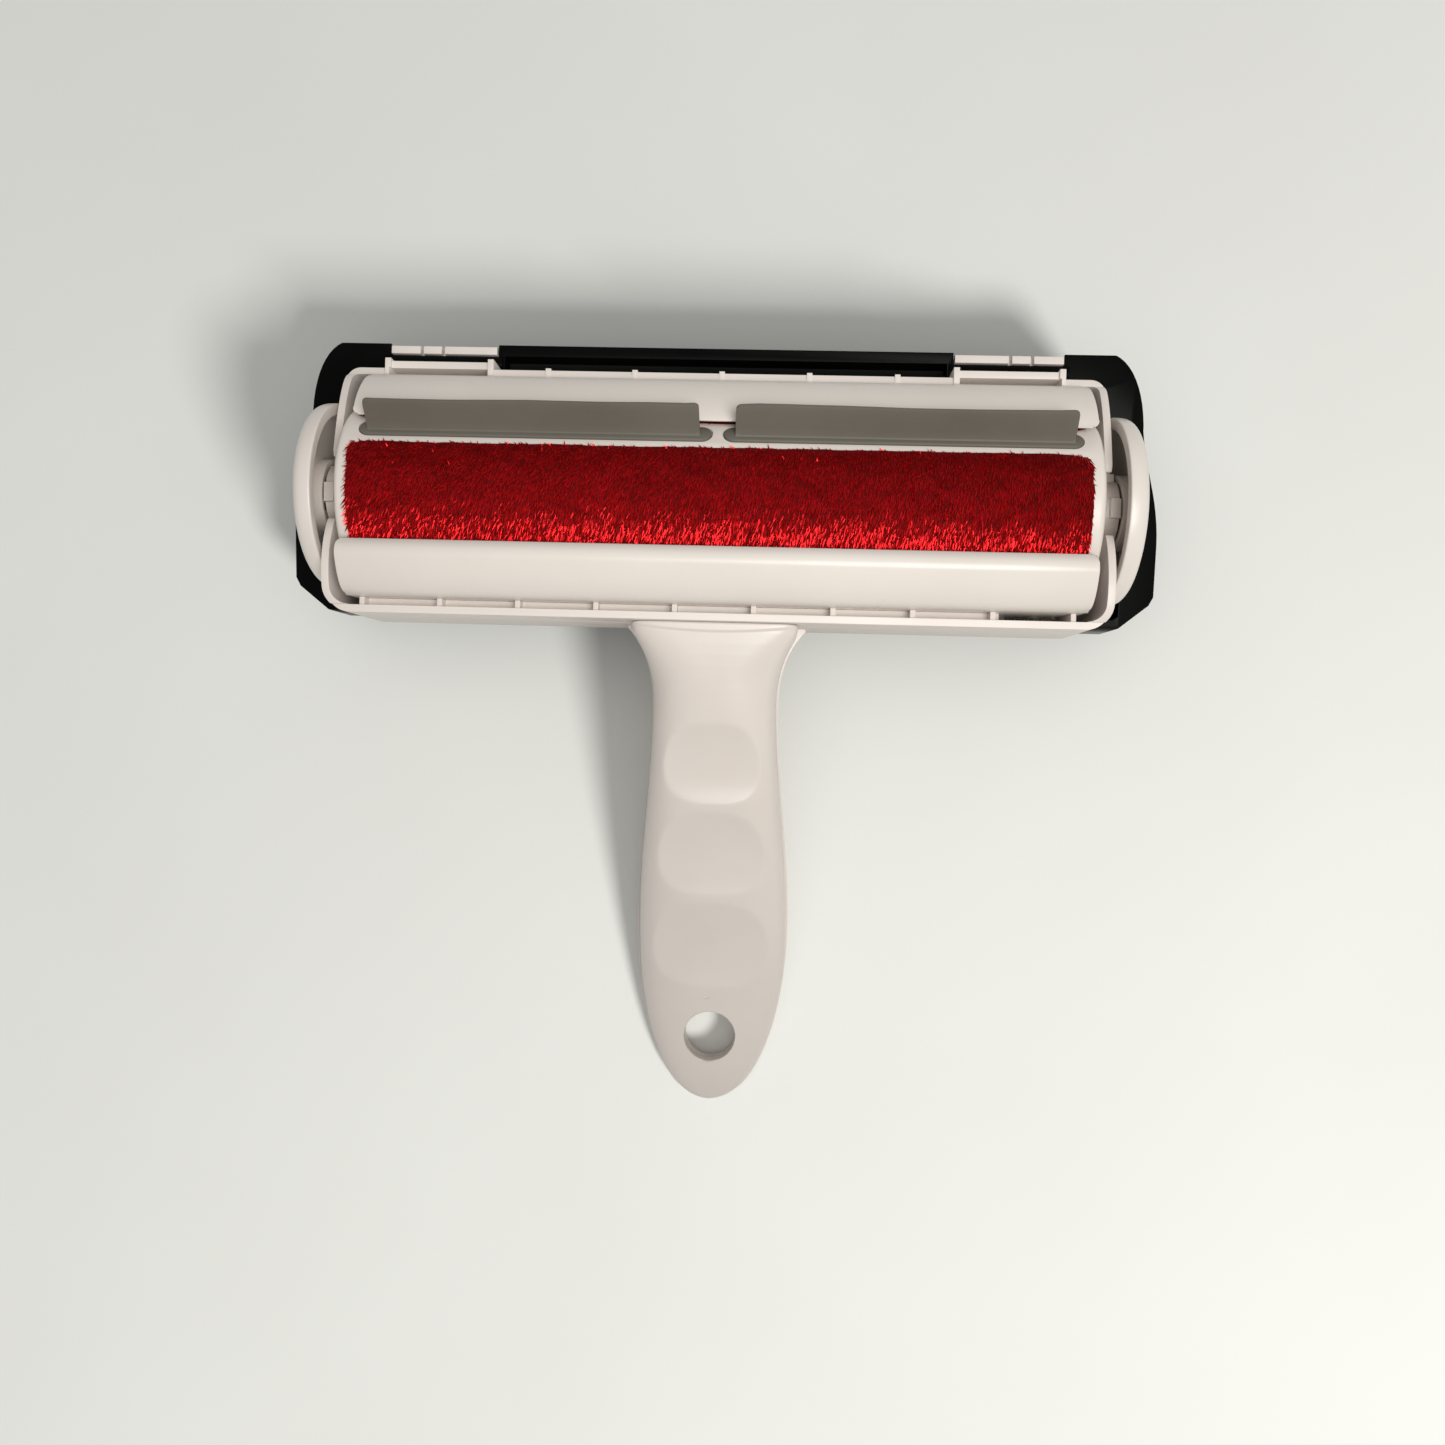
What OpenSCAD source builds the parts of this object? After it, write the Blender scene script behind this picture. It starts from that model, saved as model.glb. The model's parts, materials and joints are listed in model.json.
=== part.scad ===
/* [Head] */
// Width of the lid, the widest part of the head
lid_w = 204; // [202:1:208]
// Height of the drum's axis over the surface that the roller lies on
axis_z = 38; // [37:0.5:40]
// Depth from the front edge of the lid to the drum's axis
lid_front = 37.4; // [37:0.1:38]
// Distance between the outer faces of the frame's side plates
frame_w = 170; // [166:1:170]
// Wall thickness of the white mouldings
wall = 1.6; // [1.4:0.1:1.8]

/* [Drum] */
// Radius of the bare drum
drum_r = 20; // [19.6:0.1:20]
// Length of the drum
drum_len = 163.4; // [160:0.2:163.4]
// Height of the velvet pile over the drum
pile = 1.2; // [0.8:0.1:1.2]
// Angle of the blades in front of the top at rest
blade_angle = 37.5; // [34:0.5:37.5]
// Height of the rubber blades over the drum
blade_h = 8.2; // [6:0.2:9]
// Radius of the end wheels
wheel_r = 20.8; // [20:0.1:21.5]

/* [Handle] */
// Distance from the drum's axis to the tip of the handle
tip_y = 144.5; // [140:0.5:150]
// Half of the handle's greatest width
handle_half = 18.3; // [17:0.1:20]
// Half of the handle's width at the neck
neck_half = 14.3; // [13:0.1:15]
// Radius of the hanging hole
hole_r = 6.4; // [5:0.1:7]

/* [Hidden] */
$fn = 96;
white = [0.88, 0.85, 0.83];
black = [0.04, 0.045, 0.045];
grey = [0.45, 0.44, 0.42];
red = [0.55, 0.02, 0.04];
steel = [0.6, 0.6, 0.62];

// The roller lies on its lid with the drum upwards and the handle towards -Y. Every profile below is drawn
// around the drum's axis: first number forwards, second upwards.
origin_y = (tip_y - lid_front) / 2;     // puts the middle of the object's length at Y 0
eps = 0.01;                             // overlap that joins two shapes
plate_x = frame_w / 2;                  // outer face of a side plate
velvet_r = drum_r + pile;
brush_r = velvet_r + 0.35;              // tips of the cleaning brushes
front_y = 29;                           // outer face of the frame's front wall
front_top = 3;
rear_y = -27.3;                         // outer face of the frame's rear wall
rear_top = 12;
frame_low = -13;                        // lower edge of the frame
slot_w = 1.8;                           // slot between the rear lip and the rear wall
slot_floor = 8.2;                       // height of the slot's floor above the drum's axis
corner_rear = 5;                        // plan radii of the frame's corners
corner_front = 3;
rib_pitch = 17.2;
rib_count = 10;
lip_x = 80.4;                           // half the lips' length
hub_r = 7;
hub_gap = 0.05;                         // radial clearance of the drum's bearings
hub_end = plate_x + 2.9;                // outer end of a hub's journal
blade_len = 71;
blade_mid = 39.3;                       // middle of a blade's length
flange_w = 4.4;                         // width of a blade's flange
rear_seat = 11.5;                       // angle from the blades to the velvet strips
front_seat = 10.5;
strip_span = 112;                       // angle that a velvet strip covers
lid_r = 38.4;                           // radius of the lid's belly, round the drum's axis
lid_t = 2;
lid_rear = -24.5;
lid_x = lid_w / 2;
lid_front_x = lid_x - 4.6;              // half of the lid's width behind its front corners
rim_front = -7;                         // the lid's rim falls from the front to the rear
rim_rear = -14;
hinge_y = 33.4;
hinge_v = -8;
rod_r = 1.9;
hook_r = 4;
hinge_x0 = 53;                          // each hinge lies between these distances from the middle
hinge_x1 = 78.5;
bay_x1 = 75.4;                          // outer end of the wall's step over a hinge
trough_y0 = 29.4;                       // inner face of the lid's front trough
trough_low = -14.5;                     // underside of the trough's floor
latch_y = -23.2;
latch_v = -9;
latch_pin_r = 1.2;
hook_x = 45;                            // middle of a latch hook
press_y = -43;                          // where the button meets the lever
press_v = -14.9;
wheel_x = plate_x + 1.2;                // inner rim plane of a wheel
wheel_w = 3.7;
dome_h = 3;
screw_x = 14;
screw_v = 3.6;
shell_t = 2;                            // wall of the handle's shells
hole_y = -127.8;
gate_t = 1.4;                           // extra wall under the handle's finger scoops

function arc(cx, cy, r, a0, a1, n = 24) =
    [for (i = [0:n]) let (a = a0 + (a1 - a0) * i / n) [cx + r * cos(a), cy + r * sin(a)]];
function curve(p0, p1, p2, p3, n = 12) =
    [for (i = [0:n]) let (t = i / n, s = 1 - t)
        s * s * s * p0 + 3 * s * s * t * p1 + 3 * s * t * t * p2 + t * t * t * p3];
function mirrored(points) = [for (i = [len(points) - 1:-1:0]) [-points[i][0], points[i][1]]];
function raised(line, d) = [for (p = line) [p[0], p[1] + d]];
function backwards(line) = [for (i = [len(line) - 1:-1:0]) line[i]];
// A direction at angle a from the top, positive towards the front
function spoke(a, r = 1) = [r * sin(a), r * cos(a)];

module lay() translate([0, origin_y, axis_z]) children();
// Draws a profile, forwards and up, from x0 to x1 across the head
module across(x0, x1) translate([x0, 0, 0]) rotate([90, 0, 90]) linear_extrude(x1 - x0) children();
module rod(x0, x1, r, y = 0, v = 0) translate([x0, y, v]) rotate([0, 90, 0]) cylinder(r = r, h = x1 - x0);
module block(x0, x1, y0, y1, v0, v1) translate([x0, y0, v0]) cube([x1 - x0, y1 - y0, v1 - v0]);
module sector(a0, a1, r = 60)
    polygon(concat([[0, 0]], [for (i = [0:12]) spoke(a0 + (a1 - a0) * i / 12, r)]));
module band(r_in, r_out, a0, a1) intersection() {
    difference() {
        circle(r = r_out);
        circle(r = r_in);
    }
    sector(a0, a1);
}
module both_sides() {
    children();
    mirror([1, 0, 0]) children();
}

// ---- frame ----
frame_side = concat(
    [[front_y, frame_low], [front_y, front_top]],
    curve([front_y - wall, front_top + 0.4], [25, 7], [16, 9.4], [8.4, 10.6]),
    [[hub_r + hub_gap, 10.2], [hub_r + hub_gap, 0], [-hub_r - hub_gap, 0], [-hub_r - hub_gap, 12.4]],
    curve([-7.6, 12.9], [-12, 15.9], [-20, 17.2], [rear_y + wall, rear_top + 1.4]),
    [[rear_y + wall, rear_top], [rear_y, rear_top], [rear_y, frame_low]]);
module frame_plan(inset) {
    rear_r = corner_rear - inset;
    front_r = corner_front - inset;
    right = concat(
        arc(plate_x - corner_front, front_y - corner_front, front_r, 90, 0, 8),
        arc(plate_x - corner_rear, rear_y + corner_rear, rear_r, 0, -90, 12));
    polygon(concat(right, mirrored(right)));
}
module frame_walls() intersection() {
    across(-plate_x - 1, plate_x + 1) difference() {
        polygon(frame_side);
        circle(r = hub_r + hub_gap);
    }
    translate([0, 0, -20]) linear_extrude(60) difference() {
        frame_plan(0);
        frame_plan(wall);
    }
}
// An open hook round the lid's rod
module hinge_hook() difference() {
    across(hinge_x0 + 0.3, hinge_x1 - 0.3) difference() {
        union() {
            translate([hinge_y, hinge_v]) circle(r = hook_r);
            translate([front_y - 0.5, hinge_v - hook_r]) square([hinge_y - front_y + 0.5, hook_r + 0.5]);
        }
        translate([hinge_y, hinge_v]) circle(r = rod_r + hub_gap);
        translate([hinge_y - rod_r - hub_gap, hinge_v]) square([2 * (rod_r + hub_gap), 6]);
        translate([hinge_y - 6, hinge_v + 1.6]) square([12, 5]);
    }
    // slits beside the hook's snap tongue
    for (x = [65.6, 70.6])
        block(x, x + 0.8, hinge_y + rod_r - 0.5, hinge_y + 6, hinge_v - 0.6, hinge_v + 5);
}
// The wall steps forward over each hinge, between two posts
module hinge_bay() {
    block(hinge_x0 - 0.4, bay_x1 + 0.4, front_y - eps, front_y + wall, rim_front + 0.6, front_top);
    for (x = [hinge_x0 - 1.4, bay_x1 - 0.4])
        block(x, x + 1.3, front_y - wall, front_y + wall + 0.5, rim_front + 0.6, front_top + 0.8);
}
module rear_rib(x)
    block(x - 0.55, x + 0.55, rear_y + wall - eps, rear_y + wall + slot_w, -4, rear_top - 0.8);
module head_frame() color(white) lay() {
    difference() {
        union() {
            frame_walls();
            for (i = [0:rib_count - 1]) rear_rib((i - (rib_count - 1) / 2) * rib_pitch);
            // floor of the slot behind the rear lip, open over the latch spring
            block(-77, 62, rear_y + wall - eps, rear_y + wall + slot_w, slot_floor - 1, slot_floor);
            for (i = [-2:2])
                block(i * 19.6 - 0.6, i * 19.6 + 0.6, front_y - wall, front_y + 0.35, -4, front_top + 0.5);
            both_sides() hinge_hook();
            both_sides() hinge_bay();
            // ears that carry the latch's pins
            both_sides() difference() {
                block(74.6, 77, rear_y + wall - eps, latch_y + 2.2, latch_v - 2.4, latch_v + 2.4);
                rod(74, 78, latch_pin_r + hub_gap, latch_y, latch_v);
            }
        }
        // the straight wall behind each hinge bay
        both_sides() block(hinge_x0 - 0.1, bay_x1, front_y - wall - 1, front_y, -3.4, 8);
        // window for the latch's lever
        block(-6.2, 6.2, rear_y - 1, rear_y + wall + 1, -14, -4);
        // windows for the latch's hooks
        both_sides() block(hook_x - 5, hook_x + 5, rear_y + 0.3, rear_y + wall + 1, -14, -9.6);
        // screw holes into the handle
        both_sides() translate([screw_x, rear_y - 1, screw_v]) rotate([-90, 0, 0]) cylinder(r = 1.6, h = 4);
    }
}

// ---- lips and their cleaning brushes ----
front_skin = curve([14.9, 16.6], [19, 15.9], [26.4, 10.5], [27.4, 3.6]);
front_under = curve([14.75, 15.95], [18.5, 14.4], [24.6, 9.4], [25.8, 3.6]);
rear_skin = concat([[-12, 18.6], [-13.9, 19.9], [-14.5, 20.1]],
    curve([-15, 20.1], [-18.2, 19.9], [-22.6, 17.2], [-23.9, 12.6]));
rear_under = curve([-12.1, 17.9], [-15.6, 18.2], [-20.8, 15.8], [-22.3, 11.2]);
module front_lip() color(white) lay() across(-lip_x, lip_x)
    polygon(concat(front_skin, [[27.4, -6], [25.8, -6]], backwards(front_under)));
module rear_lip() color(white) lay() across(-lip_x, lip_x)
    polygon(concat(rear_skin, [[-23.9, -2], [-22.3, -2]], backwards(rear_under)));
// A brush fills the space between a lip and the pile
module brush(under, a0, a1) color(red) lay() across(-78, 78) intersection() {
    polygon(concat([[0, 0]], under));
    band(brush_r, 40, a0, a1);
}
module front_brush() brush(front_under, 52, 76);
module rear_brush() brush(rear_under, -60, -42);

// ---- lid ----
module lid_profile(inset) difference() {
    intersection() {
        circle(r = lid_r - inset);
        translate([lid_rear + inset, -axis_z + inset]) square([80, 60]);
    }
    // the rim's plane
    polygon([[60, rim_front + 0.12 * (60 - lid_front)], [lid_front, rim_front], [lid_rear, rim_rear],
        [-60, rim_rear - 4], [-60, 60], [60, 60]]);
}
// Half of the lid's outline, wider at the wheels than at its front corners
lid_side = concat(
    [[lid_x - 9, lid_rear - 1], [lid_x - 1, -19], [lid_x, -17]],
    curve([lid_x, -5], [lid_x - 0.2, 6], [lid_front_x + 1, 12], [lid_front_x, 21]),
    curve([lid_front_x, 22], [lid_front_x - 0.6, 32], [lid_front_x - 4.5, lid_front + 1],
        [lid_front_x - 10, lid_front + 1]));
module lid_plan(inset) {
    right = [for (p = lid_side)
        [p[0] - inset, min(max(p[1], lid_rear - 1 + inset), lid_front + 1 - inset)]];
    polygon(concat(right, mirrored(right)));
}
module lid_end_view(inset) {
    r = 16 - inset;
    polygon(concat(arc(lid_x - inset - r, -axis_z + inset + r, r, 0, -90, 10),
        arc(-lid_x + inset + r, -axis_z + inset + r, r, -90, -180, 10),
        [[-lid_x + inset, 30], [lid_x - inset, 30]]));
}
module lid_body(inset) intersection() {
    across(-lid_x - 1, lid_x + 1) lid_profile(inset);
    translate([0, 0, -60]) linear_extrude(90) lid_plan(inset);
    translate([0, 60, 0]) rotate([90, 0, 0]) linear_extrude(120) lid_end_view(inset);
}
// A flat margin inside the rim, left open over the bin and round the wheels
module lid_margin() intersection() {
    wheel_side = wheel_x + wheel_w + dome_h + 1.2;
    lid_body(0.5);
    across(-lid_x, lid_x) polygon([[lid_front, rim_front], [lid_rear, rim_rear],
        [lid_rear, rim_rear - 1.8], [lid_front, rim_front - 1.8]]);
    difference() {
        block(-lid_x, lid_x, lid_rear, lid_front, -30, 0);
        block(-plate_x - 1.2, plate_x + 1.2, -40, trough_y0, -31, 1);
        block(-wheel_side, wheel_side, -23, 22.6, -31, 1);
    }
}
module lid() color(black) lay() {
    difference() {
        union() {
            difference() {
                lid_body(0);
                lid_body(lid_t);
                // open the top of the inner volume
                block(-plate_x, plate_x, lid_rear + lid_t, trough_y0, -12.5, 0);
            }
            lid_margin();
            // walls and floor of the front trough
            block(-hinge_x0, hinge_x0, trough_y0, trough_y0 + 1.4, trough_low, rim_front - 0.9);
            block(-hinge_x0, hinge_x0, trough_y0, 35.6, trough_low, trough_low + 1.5);
            both_sides() {
                block(hinge_x1, hinge_x1 + 6, trough_y0, trough_y0 + 1.4, trough_low, rim_front - 0.9);
                for (x = [hinge_x0 - 1.4, hinge_x1])
                    block(x, x + 1.4, trough_y0, 35.6, trough_low, rim_front - 0.7);
            }
        }
        // the trough is open upwards
        block(-hinge_x0 + 1.4, hinge_x0 - 1.4, trough_y0 + 1.4, 35.3, trough_low + 1.5, 0);
        both_sides() {
            // hinge notch
            block(hinge_x0, hinge_x1, trough_y0 - 1, 40, -13.4, 0);
            // catch slot beside the latch's hook
            block(hook_x - 3, hook_x + 3, lid_rear - 0.5, lid_rear + 1, -19, -17);
        }
    }
    both_sides() rod(hinge_x0 - 1, hinge_x1 + 1, rod_r, hinge_y, hinge_v);
}

// ---- drum ----
module drum_shell() color(white) lay() rotate([-blade_angle, 0, 0]) difference() {
    rotate([0, 90, 0]) rotate_extrude() polygon(concat(
        [[drum_r - 2, -drum_len / 2], [drum_r - 1.5, -drum_len / 2]],
        arc(drum_r - 1.5, -drum_len / 2 + 1.5, 1.5, -90, 0, 6),
        arc(drum_r - 1.5, drum_len / 2 - 1.5, 1.5, 0, 90, 6),
        [[drum_r - 2, drum_len / 2]]));
    // seats for the blades' flanges, and the slots that hold their roots
    for (s = [-1, 1]) {
        stadium(s * blade_mid, blade_len + 5.6, flange_w + 0.6, drum_r - 0.9, drum_r + 2);
        block(s * blade_mid - blade_len / 2 - 0.1, s * blade_mid + blade_len / 2 + 0.1,
            -0.8, 0.8, drum_r - 4, drum_r + 1);
    }
}
module stadium(x, length, width, v0, v1) translate([x, 0, v0]) linear_extrude(v1 - v0) union() {
    square([length - width, width], center = true);
    for (s = [-1, 1]) translate([s * (length - width) / 2, 0]) circle(d = width);
}
module blade(s) color(grey) lay() rotate([-blade_angle, 0, 0]) {
    stadium(s * blade_mid, blade_len + 5, flange_w, drum_r - 0.9, drum_r + 0.1);
    block(s * blade_mid - blade_len / 2, s * blade_mid + blade_len / 2,
        -0.6, 0.6, drum_r - 3.4, drum_r + blade_h);
}
module blade_left() blade(-1);
module blade_right() blade(1);
// The strips start beside the blade seats and run round the drum
module velvet(a0, a1) color(red) lay()
    across(-drum_len / 2 + 2.7, drum_len / 2 - 2.7) band(drum_r, velvet_r, a0, a1);
module rear_velvet() velvet(blade_angle - rear_seat - strip_span, blade_angle - rear_seat);
module front_velvet() velvet(blade_angle + front_seat, blade_angle + front_seat + strip_span);

// ---- drum ends ----
// Turns a profile, radius and then place along X, round the drum's axis
module turned(points) rotate([0, 90, 0]) rotate_extrude() polygon(points);
module hub(s) color(white) lay() mirror([s < 0 ? 1 : 0, 0, 0]) rotate([-blade_angle, 0, 0]) {
    bore = drum_r - 2;
    end = drum_len / 2;
    // plug in the drum's end, and the journal that turns in the frame
    turned([[0, end - 2.4], [bore - 1.6, end - 2.4], [bore - 1.6, end - 4.6], [bore, end - 4.6],
        [bore, end - 0.4], [hub_r, end - 0.4], [hub_r, hub_end], [0, hub_end]]);
    // lugs on the journal, and prongs that drive the wheel
    for (a = [40:90:310]) rotate([a, 0, 0]) {
        block(plate_x + 0.6, hub_end - 0.2, -2.1, 2.1, hub_r - 0.5, hub_r + 1.4);
        block(hub_end - eps, hub_end + 2.6, -2, 2, hub_r - 3.6, hub_r - 0.3);
    }
}
module hub_left() hub(-1);
module hub_right() hub(1);
module wheel(s) color(white) lay() mirror([s < 0 ? 1 : 0, 0, 0]) {
    outer = wheel_x + wheel_w;
    // domed disc with a rim that turns inwards
    turned(concat([[0, outer + dome_h - wall], [wheel_r - 8, outer + 0.7], [wheel_r - 2.9, outer - 1.4],
        [wheel_r - 2.6, wheel_x], [wheel_r - 0.6, wheel_x], [wheel_r, wheel_x + 0.6]],
        curve([wheel_r, outer - 1.5], [wheel_r - 0.8, outer + 1.2],
            [wheel_r / 2, outer + dome_h], [0, outer + dome_h], 10)));
    // socket for the hub's prongs
    turned([[hub_r + hub_gap, hub_end + 0.3], [hub_r + 1.4, hub_end + 0.3], [hub_r + 1.4, outer + 1.4],
        [hub_r + hub_gap, outer + 1.4]]);
}
module wheel_left() wheel(-1);
module wheel_right() wheel(1);

// ---- latch ----
module latch_rocker() color(white) lay() {
    rod(-64, 64, 1.9, latch_y, latch_v);
    both_sides() rod(63, 78.4, latch_pin_r, latch_y, latch_v);
    // lever to the button, with a foot that the button lifts
    across(-5, 5) polygon([[latch_y, latch_v + 1.8], [latch_y, latch_v - 1.8], [rear_y - 3, latch_v - 2.2],
        [press_y + 4, latch_v - 3.2], [press_y + 1, press_v], [press_y - 3, press_v],
        [press_y - 3, press_v + 2], [press_y + 4, latch_v - 0.8], [rear_y - 3, latch_v + 0.8]]);
    // hooks beside the lid's catch slots
    both_sides() across(hook_x - 2.5, hook_x + 2.5) polygon([[latch_y - 1.4, latch_v - 1],
        [lid_rear - 0.45, latch_v - 3.2], [lid_rear - 0.7, latch_v - 7.6], [lid_rear - 0.35, latch_v - 8.2],
        [lid_rear - 0.8, latch_v - 9.2], [lid_rear - 1.7, latch_v - 9.2], [lid_rear - 1.7, latch_v - 1.6],
        [latch_y - 1.4, latch_v]]);
}
// The button follows the handle's underside, and its flange holds it inside
module button_slab(half_x, y0, y1, t0, t1) intersection() {
    block(-half_x, half_x, y0, y1, -axis_z - 1, 0);
    across(-half_x - 1, half_x + 1)
        polygon(concat(raised(bottom_line, t1), backwards(raised(bottom_line, t0))));
}
module release_button() color(white) lay() {
    button_slab(8, -47.9, -36, 0, shell_t + 0.5);
    button_slab(9.4, -49, -34.9, shell_t + 0.4, shell_t + 1.4);
    block(-3, 3, press_y - 2, press_y + 0.5, press_v - 3.3, press_v - 0.35);
}
// Torsion spring round the latch's right-hand pin
module latch_spring() color(steel) lay() translate([66.2, latch_y, latch_v]) coil(1.7, 0.28, 9, 6.8);
module coil(r, wire, turns, length) {
    per_turn = 14;
    sides = 6;
    n = turns * per_turn;
    points = [for (i = [0:n]) let (a = 360 * i / per_turn) for (k = [0:sides - 1])
        let (b = 360 * k / sides, q = r + wire * cos(b))
        [length * i / n + wire * sin(b), q * cos(a), q * sin(a)]];
    faces = concat([[for (k = [0:sides - 1]) k]], [[for (k = [sides - 1:-1:0]) n * sides + k]],
        [for (i = [0:n - 1]) for (k = [0:sides - 1]) let (j = (k + 1) % sides)
            [i * sides + k, (i + 1) * sides + k, (i + 1) * sides + j, i * sides + j]]);
    polyhedron(points, faces);
}

// ---- handle ----
handle_side = concat(
    curve([neck_half + 6.6, rear_y], [neck_half + 2.6, rear_y - 3.4],
        [neck_half, rear_y - 9], [neck_half, rear_y - 17]),
    curve([neck_half, rear_y - 17], [neck_half, -62], [handle_half, -80], [handle_half, -101]),
    curve([handle_half, -101], [handle_half, -121], [12.5, -tip_y], [0, -tip_y]));
top_main = curve([rear_y, 9], [-50, 6.4], [-84, -13], [-112, -24.6]);
top_line = concat(top_main, curve([-112, -24.6], [-122, -28.8], [-134, -30.6], [-tip_y, -31.6]));
bottom_main = curve([rear_y, -15], [-55, -20.5], [-82, -axis_z], [-114, -axis_z]);
bottom_line = concat(bottom_main,
    curve([-114, -axis_z], [-124, -axis_z], [-136, -axis_z], [-tip_y, -axis_z + 2.4]));
part_line = [for (i = [0:len(top_line) - 1])
    [top_line[i][0], 0.42 * top_line[i][1] + 0.58 * bottom_line[i][1]]];
module handle_plan(inset) {
    right = [for (p = handle_side) [max(p[0] - inset, 0), max(p[1], -tip_y + inset)]];
    translate([0, 0, -60]) linear_extrude(90) polygon(concat(right, mirrored(right)));
}
module handle_outer() intersection() {
    handle_plan(0);
    across(-30, 30) polygon(concat(top_line, backwards(bottom_line)));
}
// The hollow ends where the tail becomes solid
module handle_inner() intersection() {
    handle_plan(shell_t);
    across(-30, 30)
        polygon(concat(raised(top_main, -shell_t - gate_t), backwards(raised(bottom_main, shell_t))));
}
// The part of the handle between the parting line and height v
module parting_side(v) across(-31, 31) polygon(concat(part_line, [[-tip_y - 5, v], [rear_y + 5, v]]));
module upright(r) translate([0, hole_y, -60]) cylinder(r = r, h = 90);
module handle_shell() difference() {
    handle_outer();
    handle_inner();
}
// Finger scoops: place along the handle, half width, half length
scoops = [[-60, 11.2, 9.4], [-81.5, 12.6, 10], [-104, 13.6, 10.2]];
scoop_r = 36;
scoop_depth = 1.7;
module scoop(s) translate([0, s[0], lookup(s[0], backwards(top_line))]) rotate([19, 0, 0])
    translate([0, 0, scoop_r - scoop_depth]) rotate([0, 90, 0])
        cylinder(r = scoop_r, h = 2 * s[1], center = true);
module rounded(half_x, half_y, r) polygon(concat(
    arc(half_x - r, half_y - r, r, 0, 90, 6), arc(-half_x + r, half_y - r, r, 90, 180, 6),
    arc(-half_x + r, -half_y + r, r, 180, 270, 6), arc(half_x - r, -half_y + r, r, 270, 360, 6)));
module handle_front() color(white) lay() difference() {
    union() {
        intersection() {
            handle_shell();
            parting_side(30);
        }
        // tube round the hanging hole, through both shells
        intersection() {
            handle_outer();
            upright(hole_r + 2.2);
        }
        // bosses for the screws that hold the handle to the head
        both_sides() intersection() {
            handle_outer();
            block(screw_x - 3, screw_x + 3, -38, rear_y, screw_v - 3.2, 20);
        }
    }
    upright(hole_r);
    for (s = scoops) intersection() {
        scoop(s);
        translate([0, s[0], 0]) linear_extrude(60, center = true) rounded(s[1], s[2], 6);
    }
    both_sides() translate([screw_x, rear_y + 1, screw_v]) rotate([90, 0, 0]) cylinder(r = 1.3, h = 11);
}
module handle_back() color(white) lay() difference() {
    intersection() {
        handle_shell();
        parting_side(-60);
    }
    upright(hole_r + 2.25);
    // window for the release button
    block(-8.3, 8.3, -48.2, -35.7, -40, latch_v - 5);
}
module handle_screws() color(steel) lay() both_sides() translate([screw_x, 0, screw_v]) rotate([90, 0, 0]) {
    difference() {
        translate([0, 0, -rear_y - wall - 1.2]) cylinder(r = 2.5, h = 1.2);
        // cross recess
        for (a = [0, 90]) translate([0, 0, -rear_y - wall - 1.2]) rotate([0, 0, a])
            cube([3, 0.6, 1.2], center = true);
    }
    translate([0, 0, -rear_y - wall]) cylinder(r = 1.3, h = 9);
}

head_frame();
front_lip();
rear_lip();
front_brush();
rear_brush();
lid();
drum_shell();
front_velvet();
rear_velvet();
blade_left();
blade_right();
hub_left();
hub_right();
wheel_left();
wheel_right();
latch_rocker();
release_button();
latch_spring();
handle_front();
handle_back();
handle_screws();
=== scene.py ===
import json
import math

import bmesh
import bpy
import numpy as np
from mathutils import Matrix, Vector

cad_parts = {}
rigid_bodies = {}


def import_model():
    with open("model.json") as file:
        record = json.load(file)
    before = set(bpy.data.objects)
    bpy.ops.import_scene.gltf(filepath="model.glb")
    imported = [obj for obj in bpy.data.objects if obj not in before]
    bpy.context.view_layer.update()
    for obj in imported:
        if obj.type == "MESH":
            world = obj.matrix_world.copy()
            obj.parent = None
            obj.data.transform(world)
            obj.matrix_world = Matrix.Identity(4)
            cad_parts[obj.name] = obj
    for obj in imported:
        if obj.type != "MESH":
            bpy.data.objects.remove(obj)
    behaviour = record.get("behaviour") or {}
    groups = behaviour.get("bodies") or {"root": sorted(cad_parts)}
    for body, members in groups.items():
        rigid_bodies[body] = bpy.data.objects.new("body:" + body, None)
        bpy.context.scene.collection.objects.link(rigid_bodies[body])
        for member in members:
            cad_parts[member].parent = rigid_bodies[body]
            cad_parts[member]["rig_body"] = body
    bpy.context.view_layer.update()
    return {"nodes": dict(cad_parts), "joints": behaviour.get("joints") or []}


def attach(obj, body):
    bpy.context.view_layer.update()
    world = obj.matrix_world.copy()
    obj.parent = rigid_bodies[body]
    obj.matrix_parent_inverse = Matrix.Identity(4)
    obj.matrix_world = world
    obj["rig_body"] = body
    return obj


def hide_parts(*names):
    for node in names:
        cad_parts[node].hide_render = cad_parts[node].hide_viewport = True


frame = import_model()

MM = 0.001
JOINTS = {j["name"]: j for j in frame["joints"]}
AXIS = Vector(JOINTS["drum_turn"]["pos_m"])      # the drum's axis, at the middle of the head
BLADE_ANGLE = 37.5                               # degrees in front of the top, at rest
DRUM_R = 20.0
VELVET_R = 21.2
VELVET_SPAN = 112                                # degrees of the drum that each velvet strip covers
LATCH_Y, LATCH_V = -23.2, -9.0                   # the latch's pins, in mm from the drum's axis
ARC = math.radians(1) * DRUM_R                   # mm of drum surface in a degree


# ---------------------------------------------------------------- camera and light
def make_camera():
    camera = bpy.data.cameras.new("camera")
    camera.lens = 29.55
    camera.sensor_width = 36.0
    camera.clip_start = 0.01
    obj = bpy.data.objects.new("camera", camera)
    turn = Vector([math.radians(a) for a in (0.41, 2.06, 1.61)])
    rotation = Matrix.Rotation(turn.length, 4, turn.normalized())
    place = Vector((AXIS.x + 11.85 * MM, AXIS.y - 51.05 * MM, 306.5 * MM))
    obj.matrix_world = Matrix.Translation(place) @ rotation
    bpy.context.scene.collection.objects.link(obj)
    bpy.context.scene.camera = obj


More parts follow.
